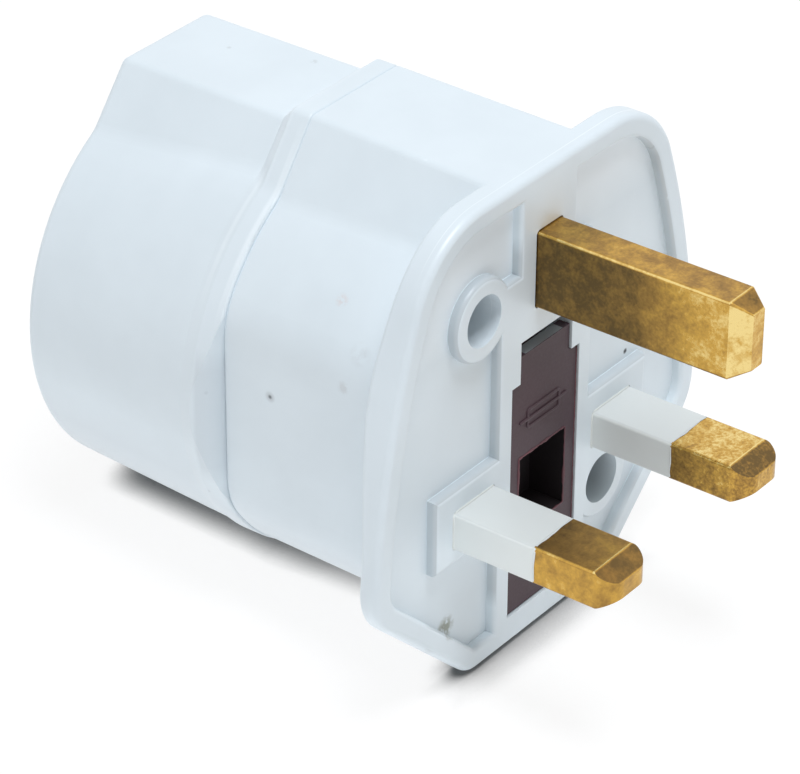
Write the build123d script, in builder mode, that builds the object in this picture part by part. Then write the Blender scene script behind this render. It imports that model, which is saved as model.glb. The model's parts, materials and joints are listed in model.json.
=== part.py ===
from build123d import *
from math import cos, radians, sin, tan
import os

os.makedirs("parts", exist_ok=True)

# Travel adapter: a fused three-pin plug in front, a round two-pin earthed socket behind.
# Millimetres. X is to the right seen from the pins, Y runs into the body, Z is up.
# The origin lies on the plug face, midway between the earth pin's row and the row of the other two.

# Pins
pin_pitch = 22.23  # between the two rows, and between the two lower pins
earth_width = 4.0
earth_height = 8.0
earth_length = 22.7
line_width = 6.35
line_height = 4.0
line_length = 17.7
sleeve_length = 9.0
sleeve_wall = 0.6
pin_edge = 0.35  # rounding along a pin
tip_length = 1.9  # the earth pin's tapered end
tip_inset = 1.1
line_tip_round = 2.0  # corners of the line pins' ends, seen from above
line_tip_length = 2.1  # slopes above and below the line pins' ends
line_tip_drop = 1.1
head_thick = 2.5  # head behind the face wall, which keeps a pin from being pulled out
earth_head_width = 10.0
earth_head_height = 11.0
line_head_width = 8.3
line_head_rise = 1.5  # how far the head stands above its pin

# Flange, a shield outline: flat top, bowed sides, slanted lower corners, flat foot
shoulder_half = 17.3
side_bow = 1.92  # how far the sides bow out between shoulder and hip
hip_half = 26.05
hip_z = -15.3
foot_half = 11.4
foot_z = -28.85
shoulder_round = 10.5
hip_round = 6.0
foot_round = 3.0
flange_ridge = 3.8  # thickest along a ridge a little above the middle, thinner above and below
flange_upper = 2.8
flange_lower = 2.1
ridge_z = 6.5
upper_from = 17.0
lower_from = -7.7
fold_round = 35.0  # where the back of the flange bends
front_round = 0.7
back_round = 0.45

# Plug face: two sunk fields, a raised spine between them and pads round the pins
face_thick = 3.2
rim_width = 2.4
field_depth = 1.1
field_edge = 0.5
spine_half_upper = 4.4
spine_half = 7.4
spine_step_z = 11.5
pad_half = 17.0
pad_above = 4.4  # from the line pins' axis to the upper edge of their pads
pad_below = 3.7

# Body: a round with a flat-topped crown, cut flat at both sides in front of the seam
axis_z = -3.7
rear_wall = 1.65  # round the socket recess, at the rear end
rear_draft = 0.8  # how much the radius grows from the rear end to the band
band_step = 0.25  # how far the collar stands out of the band behind it
collar_step = 0.2  # how far the collar stands out of the front body
front_draft = 0.35  # how much the front body's radius grows from the seam to the flange
crown_rise = 2.65  # the crown above the round, at the flange
crown_lift = 0.45  # the crown climbs this much from the flange to the seam
crown_half_front = 6.75
crown_half_seam = 6.5
crown_half_rear = 6.1
crown_slope_front = 51.5
crown_slope_seam = 53.0
crown_slope_rear = 51.0
crown_flank = 12.0  # flank length as drawn, enough to run into the round
crown_edge = 1.0
crown_blend = 4.0
crown_step = 1.45  # the crown behind the collar is lower
flat_depth = 2.2  # the flats at both sides, measured from the round
flat_blend = 8.0  # rounding where a flat runs into the round
body_start = 0.9
seam_y = 22.5
seam_groove = 0.2  # shadow line in front of the collar
groove_depth = 0.12
collar_edge = 0.3
collar_length = 2.2
step_length = 1.4
scoop_length = 3.3  # rounded scoops lead from the round behind the seam down to the flats
scoop_sunk = 0.25  # below the flats, at the seam
scoop_reach = 0.1  # cut on past the collar
rear_y = 46.0
rear_round = 0.9
wall = 2.0
lip_length = 2.0
lip_thick = 1.2
lip_gap = 0.1

# Socket
recess_radius = 19.5
recess_depth = 17.5
recess_edge = 0.4
floor_thick = 2.0
socket_half = 9.5
socket_hole = 2.7
guide_rib_width = 5.0
guide_rib_depth = 2.0
guide_rib_length = 14.0

# Fuse drawer and its slot
slot_half = 5.4
slot_drop = 2.6  # the slot's lower end below the chamber behind it
slot_height = 25.6  # from the lower end to the shoulder
slot_spare = 1.75  # open above the drawer's tab
tab_half = 4.1
tab_height = 2.7
drawer_sunk = 0.25
drawer_gap = 0.12
plate_thick = 1.2  # the slot's lower end stays inside the flange
window_half = 3.75
window_rise = 8.5  # from the slot's lower end
window_height = 8.6
window_depth = 4.0
window_floor = 1.9
guide_wall = 1.2
chamber_rise = 0.6  # the drawer's chamber ends this far above the shell
fuse_radius = 3.175
fuse_length = 25.4
cap_length = 6.0
cap_wall = 0.35
tube_radius = 3.05
cradle_gap = 0.05

# Contact strips
strip = 0.6
strip_width = 4.6
spring_gap = 0.12
clip_inset = 0.6  # clip shorter than the cap at each end
mouth = 0.8  # from the drawer's back to the front of the clip arms
strip_drop = 1.0  # the folds on the line pins' heads lie this far below the pin's axis
link_width = 4.0
contact_radius = 3.05
contact_wall = 0.6
contact_slit = 0.7
earth_strip = 0.8
earth_strip_width = 5.6
earth_clip = 0.7
earth_clip_gap = 2.1  # from the recess wall to the clips
earth_clip_bulge = 1.8
earth_clip_reach = 14.0  # from the recess floor to the spring's end
earth_clip_bow = 9.0  # from the recess floor to the top of the bulge
earth_clip_start = 3.5  # from the recess floor to where the bulge starts
earth_foot = 4.2
earth_run_z = 15.4
seat_gap = 0.4

# Screws, sunk in wells beside the pins
upper_screw = (-10.0, 9.45)
lower_screw = (9.9, -17.5)
well_radius = 2.6
boss_radius = 4.2
well_depth = 14.0
well_floor = 2.0
screw_radius = 1.4
screw_gap = 0.05
screw_through_gap = 0.2
screw_head_radius = 2.3
screw_head = 1.8
screw_head_edge = 0.6
screw_length = 10.0
cross_length = 3.2
cross_width = 0.7
cross_depth = 1.0
pillar_radius = 2.6
pillar_gap = 0.1
pilot_spare = 1.0  # the pilot hole is deeper than the screw is long

pin_gap = 0.12  # round each pin in the face wall
rib_gap = 0.1  # between a pin's head and the rib that backs it
rib_width = 1.6
rib_height = 4.0

cut_span = 120.0  # longer than the part, for cuts that run right across it

# Places worked out from the sizes above
earth_z = pin_pitch / 2
line_z = -pin_pitch / 2
line_x = pin_pitch / 2
rear_radius = recess_radius + rear_wall
band_radius = rear_radius + rear_draft
collar_radius = band_radius + band_step
seam_radius = collar_radius - collar_step
front_radius = seam_radius + front_draft
scoop_half = seam_radius - flat_depth - scoop_sunk
scoop_out = collar_radius + scoop_reach
flange_top = axis_z + front_radius + crown_rise
crown_top = flange_top + crown_lift
earth_clip_radius = recess_radius - earth_clip_gap
head_back = face_thick + head_thick
collar_end = seam_y + collar_length
band_y = collar_end + step_length
floor_back = rear_y - recess_depth
floor_front = floor_back - floor_thick
rear_crown_top = crown_top - crown_step
chamber_bottom = axis_z - seam_radius + wall + chamber_rise
slot_bottom = chamber_bottom - slot_drop
shoulder_z = slot_bottom + slot_height
tab_top = shoulder_z + tab_height
slot_top = tab_top + slot_spare
window_bottom = slot_bottom + window_rise
window_top = window_bottom + window_height
fuse_bottom = chamber_bottom + drawer_gap
fuse_top = fuse_bottom + fuse_length
drawer_half = slot_half - drawer_gap
drawer_top = shoulder_z - drawer_gap
drawer_back = drawer_sunk + window_depth + window_floor
fuse_y = drawer_back + fuse_radius
guide_end = fuse_y + fuse_radius + spring_gap
contact_seat = guide_end + strip
clip_half = fuse_radius + spring_gap + strip
foot_y = floor_front - seat_gap - earth_clip / 2
spine_y = foot_y - earth_clip / 2 - earth_strip / 2
well_end = well_depth + well_floor
strip_z = line_z - strip_drop
neutral_run_z = line_z + (line_height + line_head_rise) / 2
lower_clip_bottom = fuse_bottom + clip_inset
lower_clip_top = fuse_bottom + cap_length - clip_inset
upper_clip_bottom = fuse_top - cap_length + clip_inset
upper_clip_top = fuse_top - clip_inset
arm_front = drawer_back + mouth


def behind(y):
    """Plane parallel to the plug face, y behind it; sketched in X and Z, extruded towards the pins."""
    return Plane(origin=(0, y, 0), x_dir=(1, 0, 0), z_dir=(0, -1, 0))


def flange_face(inset=0.0):
    """Shield outline of the flange, or the same outline drawn in by inset."""
    with BuildSketch() as outline:
        with BuildLine():
            foot = Line((-foot_half, foot_z), (foot_half, foot_z))
            slant = Line(foot @ 1, (hip_half, hip_z))
            side = SagittaArc(slant @ 1, (shoulder_half, flange_top), -side_bow)
            top = Line(side @ 1, (-shoulder_half, flange_top))
            far_side = SagittaArc(top @ 1, (-hip_half, hip_z), -side_bow)
            Line(far_side @ 1, foot @ 0)
        make_face()
        fillet(outline.vertices().group_by(Axis.Y)[1], radius=hip_round)
        fillet(outline.vertices().group_by(Axis.Y)[0], radius=foot_round)
        fillet(outline.vertices().group_by(Axis.Y)[-1], radius=shoulder_round)
        if inset > 0:
            offset(amount=-inset, mode=Mode.REPLACE)
    return outline.sketch


def crowned_face(radius, top, half, slope, flat_cut=0.0, inset=0.0):
    """Round with a flat-topped crown, drawn in by inset; flat_cut is the depth of flats at both sides."""
    in_radius = radius - inset
    in_top = top - inset
    in_half = half - inset * tan(radians(slope / 2))
    low_half = in_half + crown_flank * cos(radians(slope))
    low_z = in_top - crown_flank * sin(radians(slope))
    with BuildSketch() as outline:
        with Locations((0, axis_z)):
            Circle(in_radius)
        with BuildLine():
            Polyline(
                (-in_half, in_top),
                (in_half, in_top),
                (low_half, low_z),
                (-low_half, low_z),
                close=True,
            )
        make_face()
        valleys = outline.vertices().filter_by(lambda v: low_z < v.Y < in_top - crown_edge)
        fillet(valleys, radius=crown_blend + inset)
        if inset < crown_edge:
            fillet(outline.vertices().group_by(Axis.Y)[-1], radius=crown_edge - inset)
        if flat_cut:
            with Locations((0, axis_z)):
                Rectangle(2 * (in_radius - flat_cut), cut_span, mode=Mode.INTERSECT)
            flat_ends = outline.vertices().group_by(lambda v: round(abs(v.X), 3))[-1]
            fillet(flat_ends, radius=flat_blend - inset)
    return outline.sketch


def front_section(inset=0.0):
    """Section of the front body where it leaves the flange."""
    return crowned_face(front_radius, flange_top, crown_half_front, crown_slope_front, flat_depth, inset)


def seam_section(inset=0.0):
    """Section of the front body at the seam."""
    return crowned_face(seam_radius, crown_top, crown_half_seam, crown_slope_seam, flat_depth, inset)


def slot_face(gap, bottom, top):
    """Outline of the fuse drawer's slot, drawn in by gap: wide below the shoulder, narrower above it."""
    with BuildSketch() as outline:
        with BuildLine():
            Polyline(
                (-slot_half + gap, bottom),
                (slot_half - gap, bottom),
                (slot_half - gap, shoulder_z - gap),
                (tab_half - gap, shoulder_z - gap),
                (tab_half - gap, top),
                (-tab_half + gap, top),
                (-tab_half + gap, shoulder_z - gap),
                (-slot_half + gap, shoulder_z - gap),
                close=True,
            )
        make_face()
    return outline.sketch


# Front housing: flange, plug face, body shell, screw wells and the guide walls of the fuse drawer
with BuildPart() as front_housing:
    with BuildSketch(behind(0)):
        add(flange_face())
    extrude(amount=-2 * flange_ridge)
    with BuildSketch(Plane.YZ) as flange_back:
        with BuildLine():
            Polyline(
                (flange_upper, cut_span),
                (flange_upper, upper_from),
                (flange_ridge, ridge_z),
                (flange_lower, lower_from),
                (flange_lower, -cut_span),
                (cut_span, -cut_span),
                (cut_span, cut_span),
                close=True,
            )
        make_face()
        folds = flange_back.vertices().filter_by(lambda v: abs(v.Y) < cut_span)
        fillet(folds, radius=fold_round)
    extrude(amount=cut_span, both=True, mode=Mode.SUBTRACT)
    fillet(front_housing.edges().group_by(Axis.Y)[0], radius=front_round)
    back_edges = front_housing.edges().filter_by(Axis.Y, reverse=True)
    back_edges = back_edges.filter_by(lambda e: e.center().Y > flange_lower - back_round / 2)
    fold_lines = back_edges.filter_by(Axis.X)
    fold_lines = fold_lines.filter_by(lambda e: foot_z + foot_round < e.center().Z < flange_top - back_round)
    fillet(back_edges - fold_lines, radius=back_round)

    with BuildSketch(behind(body_start)):
        add(front_section())
    with BuildSketch(behind(seam_y)):
        add(seam_section())
    loft(ruled=True)
    with BuildSketch(behind(face_thick)):
        add(front_section(wall))
    with BuildSketch(behind(seam_y)):
        add(seam_section(wall))
    loft(ruled=True, mode=Mode.SUBTRACT)

    # Shadow line at the seam
    with BuildSketch(behind(seam_y)):
        Circle(cut_span)
        add(seam_section(groove_depth), mode=Mode.SUBTRACT)
    extrude(amount=seam_groove, mode=Mode.SUBTRACT)

    # Sunk fields left and right of the spine, with the pads and screw bosses left standing
    with BuildSketch(behind(0)):
        add(flange_face(rim_width))
        with Locations((0, spine_step_z)):
            Rectangle(2 * spine_half, cut_span, align=(Align.CENTER, Align.MAX), mode=Mode.SUBTRACT)
            Rectangle(2 * spine_half_upper, cut_span, align=(Align.CENTER, Align.MIN), mode=Mode.SUBTRACT)
        with Locations((0, line_z - pad_below)):
            Rectangle(
                2 * pad_half, pad_below + pad_above, align=(Align.CENTER, Align.MIN), mode=Mode.SUBTRACT
            )
        with Locations(upper_screw, lower_screw):
            Circle(boss_radius, mode=Mode.SUBTRACT)
    extrude(amount=-field_depth, mode=Mode.SUBTRACT)
    plug_face = front_housing.faces().sort_by(Axis.Y)[0]
    field_edges = [edge for wire in plug_face.inner_wires() for edge in wire.edges()]
    fillet(field_edges, radius=field_edge)

    # Guide walls of the fuse drawer, whose ends carry the contact strips
    with BuildSketch(behind(face_thick)):
        for side in (-1, 1):
            with Locations((side * (slot_half + guide_wall / 2), chamber_bottom)):
                Rectangle(guide_wall, shoulder_z - chamber_bottom, align=(Align.CENTER, Align.MIN))
    extrude(amount=face_thick - guide_end)
    with BuildSketch(behind(face_thick)):
        with Locations(upper_screw, lower_screw):
            Circle(boss_radius)
    extrude(amount=face_thick - well_end)

    # Openings in the face wall: screw wells, pins, fuse drawer
    with BuildSketch(behind(0)):
        with Locations(upper_screw, lower_screw):
            Circle(well_radius)
    extrude(amount=-well_depth, mode=Mode.SUBTRACT)
    with BuildSketch(behind(0)):
        with Locations(upper_screw, lower_screw):
            Circle(screw_radius + screw_through_gap)
    extrude(amount=-well_end, mode=Mode.SUBTRACT)
    with BuildSketch(behind(0)):
        with Locations((0, earth_z)):
            RectangleRounded(earth_width + 2 * pin_gap, earth_height + 2 * pin_gap, pin_edge + pin_gap)
        with Locations((-line_x, line_z), (line_x, line_z)):
            RectangleRounded(line_width + 2 * pin_gap, line_height + 2 * pin_gap, pin_edge + pin_gap)
        add(slot_face(0, chamber_bottom, slot_top))
    extrude(amount=-face_thick, mode=Mode.SUBTRACT)
    with BuildSketch(behind(0)):
        with Locations((0, slot_bottom)):
            Rectangle(2 * slot_half, chamber_bottom - slot_bottom, align=(Align.CENTER, Align.MIN))
    extrude(amount=-(drawer_sunk + plate_thick + drawer_gap), mode=Mode.SUBTRACT)
front_housing.part.label = "front_housing"
export_step(front_housing.part, "parts/front_housing.step")

# Rear housing: collar, crowned cup, socket floor and recess, lip, screw pillars and pin ribs
with BuildPart() as rear_housing:
    with BuildSketch(behind(seam_y)):
        add(crowned_face(collar_radius, crown_top, crown_half_seam, crown_slope_seam))
    extrude(amount=-collar_length)
    with BuildSketch(behind(collar_end)):
        add(crowned_face(collar_radius, crown_top, crown_half_seam, crown_slope_seam))
    with BuildSketch(behind(band_y)):
        add(crowned_face(band_radius, rear_crown_top, crown_half_rear, crown_slope_rear))
    loft(ruled=True)
    with BuildSketch(behind(band_y)):
        add(crowned_face(band_radius, rear_crown_top, crown_half_rear, crown_slope_rear))
    with BuildSketch(behind(rear_y)):
        add(crowned_face(rear_radius, rear_crown_top, crown_half_rear, crown_slope_rear))
    loft(ruled=True)
    fillet(rear_housing.edges().group_by(Axis.Y)[-1], radius=rear_round)
    fillet(rear_housing.edges().filter_by_position(Axis.Y, seam_y, seam_y), radius=collar_edge)
    fillet(rear_housing.edges().filter_by_position(Axis.Y, collar_end, collar_end), radius=collar_edge)
    with BuildSketch(Plane.XY):
        for side in (-1, 1):
            with BuildLine():
                scoop = TangentArc(
                    (side * scoop_out, seam_y + scoop_length), (side * scoop_half, seam_y), tangent=(0, -1)
                )
                Polyline(scoop @ 1, (side * scoop_out, seam_y), scoop @ 0)
            make_face()
    extrude(amount=cut_span, both=True, mode=Mode.SUBTRACT)

    # Hollow in front of the socket floor, and the lip that enters the front housing
    with BuildSketch(behind(seam_y)):
        add(seam_section(wall + lip_gap + lip_thick))
    extrude(amount=seam_y - floor_front, mode=Mode.SUBTRACT)
    with BuildSketch(behind(seam_y - lip_length)):
        add(seam_section(wall + lip_gap))
        add(seam_section(wall + lip_gap + lip_thick), mode=Mode.SUBTRACT)
    extrude(amount=-lip_length)

    # Socket recess with its two guide ribs
    with BuildSketch(behind(rear_y)):
        with Locations((0, axis_z)):
            Circle(recess_radius)
    extrude(amount=recess_depth, mode=Mode.SUBTRACT)
    mouth_edges = rear_housing.edges().filter_by(GeomType.CIRCLE).group_by(Axis.Y)[-1]
    chamfer(mouth_edges, length=recess_edge)
    with BuildSketch(behind(floor_back)):
        for side in (-1, 1):
            with Locations((side * (recess_radius - guide_rib_depth / 2), axis_z)):
                Rectangle(guide_rib_depth + recess_edge, guide_rib_width)
    extrude(amount=-guide_rib_length)

    # Pillars for the screws and ribs that back the pin heads
    with BuildSketch(behind(well_end + pillar_gap)):
        with Locations(upper_screw, lower_screw):
            Circle(pillar_radius)
    extrude(amount=well_end + pillar_gap - floor_front)
    with BuildSketch(behind(well_end + pillar_gap)):
        with Locations(upper_screw, lower_screw):
            Circle(screw_radius + screw_gap)
    pilot_end = well_depth + screw_length + pilot_spare
    extrude(amount=well_end + pillar_gap - pilot_end, mode=Mode.SUBTRACT)
    with BuildSketch(behind(head_back + rib_gap)):
        for side in (-1, 1):
            with Locations((side * (earth_head_width - rib_width) / 2, earth_z)):
                Rectangle(rib_width, rib_height)
            with Locations((side * (line_x + (line_head_width - rib_width) / 2), line_z)):
                Rectangle(rib_width, rib_height)
    extrude(amount=head_back + rib_gap - floor_front)

    # Holes in the socket floor: two for the pins, two slots for the earth clips
    with BuildSketch(behind(floor_front)):
        with Locations((-socket_half, axis_z), (socket_half, axis_z)):
            Circle(socket_hole)
        for side in (-1, 1):
            with Locations((0, axis_z + side * earth_clip_radius)):
                Rectangle(earth_strip_width + 2 * seat_gap, earth_clip + 2 * seat_gap)
    extrude(amount=-floor_thick, mode=Mode.SUBTRACT)
rear_housing.part.label = "rear_housing"
export_step(rear_housing.part, "parts/rear_housing.step")

# Earth pin: one bar with a tapered tip and a head behind the face wall
with BuildPart() as earth_pin:
    with BuildSketch(behind(tip_length - earth_length)):
        with Locations((0, earth_z)):
            RectangleRounded(earth_width, earth_height, pin_edge)
    extrude(amount=tip_length - earth_length - face_thick)
    with BuildSketch(behind(-earth_length)):
        with Locations((0, earth_z)):
            RectangleRounded(earth_width - 2 * tip_inset, earth_height - 2 * tip_inset, pin_edge / 2)
    with BuildSketch(behind(tip_length - earth_length)):
        with Locations((0, earth_z)):
            RectangleRounded(earth_width, earth_height, pin_edge)
    loft(ruled=True)
    with BuildSketch(behind(face_thick)):
        with Locations((0, earth_z)):
            RectangleRounded(earth_head_width, earth_head_height, pin_edge)
    extrude(amount=-head_thick)
earth_pin.part.label = "earth_pin"
export_step(earth_pin.part, "parts/earth_pin.step")

# Live and neutral pins: necked where the insulating sleeve goes round them
for name, pin_x in (("live", -line_x), ("neutral", line_x)):
    with BuildPart() as line_pin:
        with BuildSketch(Plane.XY.offset(line_z - line_height / 2)) as plan:
            with Locations((pin_x, -line_length)):
                Rectangle(line_width, line_length - sleeve_length, align=(Align.CENTER, Align.MIN))
            fillet(plan.vertices().group_by(Axis.Y)[0], radius=line_tip_round)
        extrude(amount=line_height)
        fillet(line_pin.edges().filter_by(Axis.Y), radius=pin_edge)
        with BuildSketch(Plane.YZ.offset(pin_x)):
            for side in (-1, 1):
                edge_z = line_z + side * line_height / 2
                with BuildLine():
                    Polyline(
                        (-line_length, edge_z - side * line_tip_drop),
                        (-line_length + line_tip_length, edge_z),
                        (-line_length, edge_z),
                        close=True,
                    )
                make_face()
        extrude(amount=line_width, both=True, mode=Mode.SUBTRACT)
        with BuildSketch(behind(-sleeve_length)):
            with Locations((pin_x, line_z)):
                Rectangle(line_width - 2 * sleeve_wall, line_height - 2 * sleeve_wall)
        extrude(amount=-(sleeve_length + face_thick))
        with BuildSketch(behind(face_thick)):
            with Locations((pin_x, line_z - line_height / 2)):
                Rectangle(line_head_width, line_height + line_head_rise, align=(Align.CENTER, Align.MIN))
        extrude(amount=-head_thick)
    line_pin.part.label = f"{name}_pin"
    export_step(line_pin.part, f"parts/{name}_pin.step")

    with BuildPart() as sleeve:
        with BuildSketch(behind(-sleeve_length)):
            with Locations((pin_x, line_z)):
                RectangleRounded(line_width, line_height, pin_edge)
                Rectangle(line_width - 2 * sleeve_wall, line_height - 2 * sleeve_wall, mode=Mode.SUBTRACT)
        extrude(amount=-(sleeve_length + face_thick))
    sleeve.part.label = f"{name}_sleeve"
    export_step(sleeve.part, f"parts/{name}_sleeve.step")

# Fuse drawer: face plate with a pry window, block behind it, cradle round the middle of the fuse
with BuildPart() as fuse_carrier:
    with BuildSketch(behind(drawer_sunk)):
        add(slot_face(drawer_gap, slot_bottom + drawer_gap, tab_top))
    extrude(amount=-plate_thick)
    with BuildSketch(behind(drawer_sunk)):
        with Locations((0, fuse_bottom)):
            Rectangle(2 * drawer_half, drawer_top - fuse_bottom, align=(Align.CENTER, Align.MIN))
    extrude(amount=drawer_sunk - drawer_back)
    cradle_half = fuse_length / 2 - cap_length - clip_inset
    with BuildSketch(behind(drawer_back)):
        with Locations((0, fuse_bottom + fuse_length / 2)):
            Rectangle(2 * drawer_half, 2 * cradle_half)
    extrude(amount=-fuse_radius)
    with BuildSketch(Plane.XY.offset(fuse_bottom)):
        with Locations((0, fuse_y)):
            Circle(fuse_radius + cradle_gap)
    extrude(amount=fuse_length, mode=Mode.SUBTRACT)
    with BuildSketch(behind(drawer_sunk)):
        with Locations((0, window_bottom)):
            Rectangle(2 * window_half, window_top - window_bottom, align=(Align.CENTER, Align.MIN))
    extrude(amount=-window_depth, mode=Mode.SUBTRACT)
fuse_carrier.part.label = "fuse_carrier"
export_step(fuse_carrier.part, "parts/fuse_carrier.step")

# Cartridge fuse: ceramic body, turned down at both ends for the caps
with BuildPart() as fuse_tube:
    with BuildSketch(Plane.XY.offset(fuse_bottom + cap_wall)):
        with Locations((0, fuse_y)):
            Circle(fuse_radius - cap_wall)
    extrude(amount=fuse_length - 2 * cap_wall)
    with BuildSketch(Plane.XY.offset(fuse_bottom + cap_length)):
        with Locations((0, fuse_y)):
            Circle(tube_radius)
    extrude(amount=fuse_length - 2 * cap_length)
fuse_tube.part.label = "fuse_tube"
export_step(fuse_tube.part, "parts/fuse_tube.step")

for name, end_z, inward in (("lower", fuse_bottom, 1), ("upper", fuse_top, -1)):
    with BuildPart() as fuse_cap:
        with BuildSketch(Plane.XY.offset(end_z)):
            with Locations((0, fuse_y)):
                Circle(fuse_radius)
        extrude(amount=inward * cap_length)
        with BuildSketch(Plane.XY.offset(end_z + inward * cap_wall)):
            with Locations((0, fuse_y)):
                Circle(fuse_radius - cap_wall)
        extrude(amount=inward * (cap_length - cap_wall), mode=Mode.SUBTRACT)
    fuse_cap.part.label = f"fuse_cap_{name}"
    export_step(fuse_cap.part, f"parts/fuse_cap_{name}.step")

# Live fuse clip: folded strip from the live pin's head to a clip round the lower cap
with BuildPart() as live_fuse_clip:
    with BuildSketch(Plane.YZ.offset(-line_x - strip_width / 2)):
        with BuildLine():
            Polyline(
                (head_back + strip / 2, line_z + line_height / 2),
                (head_back + strip / 2, strip_z),
                (guide_end + strip / 2, strip_z),
                (guide_end + strip / 2, lower_clip_top),
            )
        trace(line_width=strip)
    extrude(amount=strip_width)
    with BuildSketch(behind(guide_end)):
        with Locations((clip_half, lower_clip_top)):
            Rectangle(clip_half + line_x + strip_width / 2, link_width, align=(Align.MAX, Align.MIN))
        with Locations((0, lower_clip_bottom)):
            Rectangle(2 * clip_half, lower_clip_top - lower_clip_bottom, align=(Align.CENTER, Align.MIN))
    extrude(amount=-strip)
    with BuildSketch(behind(arm_front)):
        for side in (-1, 1):
            with Locations((side * (clip_half - strip / 2), lower_clip_bottom)):
                Rectangle(strip, lower_clip_top - lower_clip_bottom, align=(Align.CENTER, Align.MIN))
    extrude(amount=arm_front - guide_end)
live_fuse_clip.part.label = "live_fuse_clip"
export_step(live_fuse_clip.part, "parts/live_fuse_clip.step")

# Load fuse clip: clip round the upper cap, with a tongue under the live socket contact
with BuildPart() as load_fuse_clip:
    with BuildSketch(behind(guide_end)):
        with Locations((clip_half, axis_z)):
            tongue = clip_half + socket_half + contact_radius
            Rectangle(tongue, 2 * contact_radius, align=(Align.MAX, Align.CENTER))
        with Locations((0, axis_z)):
            Rectangle(2 * clip_half, upper_clip_top - axis_z, align=(Align.CENTER, Align.MIN))
    extrude(amount=-strip)
    with BuildSketch(behind(arm_front)):
        for side in (-1, 1):
            with Locations((side * (clip_half - strip / 2), upper_clip_bottom)):
                Rectangle(strip, upper_clip_top - upper_clip_bottom, align=(Align.CENTER, Align.MIN))
    extrude(amount=arm_front - guide_end)
load_fuse_clip.part.label = "load_fuse_clip"
export_step(load_fuse_clip.part, "parts/load_fuse_clip.step")

# Neutral strap: folded strip from the neutral pin's head to its socket contact
with BuildPart() as neutral_strap:
    with BuildSketch(Plane.YZ.offset(socket_half - strip_width / 2)):
        with BuildLine():
            Polyline(
                (head_back + strip / 2, strip_z),
                (head_back + strip / 2, neutral_run_z),
                (guide_end + strip / 2, neutral_run_z),
                (guide_end + strip / 2, axis_z + contact_radius),
            )
        trace(line_width=strip)
    extrude(amount=strip_width)
neutral_strap.part.label = "neutral_strap"
export_step(neutral_strap.part, "parts/neutral_strap.step")

# Socket contacts: slit tubes, closed at the end that stands on the strips
for name, side in (("live", -1), ("neutral", 1)):
    with BuildPart() as socket_contact:
        with BuildSketch(behind(contact_seat)):
            with Locations((side * socket_half, axis_z)):
                Circle(contact_radius)
        extrude(amount=contact_seat - floor_front + seat_gap)
        with BuildSketch(behind(contact_seat + contact_wall)):
            with Locations((side * socket_half, axis_z)):
                Circle(contact_radius - contact_wall)
                Rectangle(2 * (contact_radius + contact_wall), contact_slit)
        extrude(amount=contact_seat - floor_front, mode=Mode.SUBTRACT)
        with BuildSketch(behind(contact_seat + contact_wall)):
            with Locations((side * socket_half, axis_z)):
                Circle(contact_radius)
                Circle(contact_radius - contact_wall, mode=Mode.SUBTRACT)
        extrude(amount=-2 * contact_wall)
    socket_contact.part.label = f"{name}_socket_contact"
    export_step(socket_contact.part, f"parts/{name}_socket_contact.step")

# Earth strap: along the crown from the earth pin's head, then down in front of the socket floor
with BuildPart() as earth_strap:
    with BuildSketch(Plane.YZ.offset(-earth_strip_width / 2)):
        with BuildLine():
            Polyline(
                (head_back + earth_strip / 2, earth_z - earth_height / 2),
                (head_back + earth_strip / 2, earth_run_z),
                (spine_y, earth_run_z),
                (spine_y, axis_z - earth_clip_radius + earth_clip),
            )
        trace(line_width=earth_strip)
    extrude(amount=earth_strip_width)
earth_strap.part.label = "earth_strap"
export_step(earth_strap.part, "parts/earth_strap.step")

# Earth clips: bowed springs that reach into the recess, one under the crown and one below
for name, side in (("upper", 1), ("lower", -1)):
    leg_z = axis_z + side * earth_clip_radius
    bulge_z = leg_z - side * earth_clip_bulge
    with BuildPart() as earth_clip_spring:
        with BuildSketch(Plane.YZ.offset(-earth_strip_width / 2)):
            with BuildLine():
                FilletPolyline(
                    (foot_y, leg_z - side * earth_foot),
                    (foot_y, leg_z),
                    (floor_back + earth_clip_start, leg_z),
                    (floor_back + earth_clip_bow, bulge_z),
                    (floor_back + earth_clip_reach, leg_z + side * earth_clip),
                    radius=earth_clip,
                )
            trace(line_width=earth_clip)
        extrude(amount=earth_strip_width)
    earth_clip_spring.part.label = f"{name}_earth_clip"
    export_step(earth_clip_spring.part, f"parts/{name}_earth_clip.step")

# Housing screws: cross-slotted heads on the floors of the wells
for name, place in (("upper", upper_screw), ("lower", lower_screw)):
    with BuildPart() as screw:
        with BuildSketch(behind(well_depth - screw_head)):
            with Locations(place):
                Circle(screw_head_radius)
        extrude(amount=-screw_head)
        chamfer(screw.edges().group_by(Axis.Y)[0], length=screw_head_edge)
        with BuildSketch(behind(well_depth)):
            with Locations(place):
                Circle(screw_radius)
        extrude(amount=-screw_length)
        with BuildSketch(behind(well_depth - screw_head)):
            with Locations(place):
                Rectangle(cross_length, cross_width)
                Rectangle(cross_width, cross_length)
        extrude(amount=-cross_depth, mode=Mode.SUBTRACT)
    screw.part.label = f"{name}_screw"
    export_step(screw.part, f"parts/{name}_screw.step")
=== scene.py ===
# %% [markdown]
# # Travel adapter
# A white moulded adapter: three brass pins and a fuse drawer on a shield-shaped plug face, and a round
# socket body behind it. The solids come in as a fixed frame, in metres, and every finish and small moulded
# detail in this lesson is built round them. Sizes are written in millimetres and turned to metres once.

# %% Load the frame
import json
import math
import bpy
import numpy as np
from mathutils import Matrix, Vector


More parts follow.
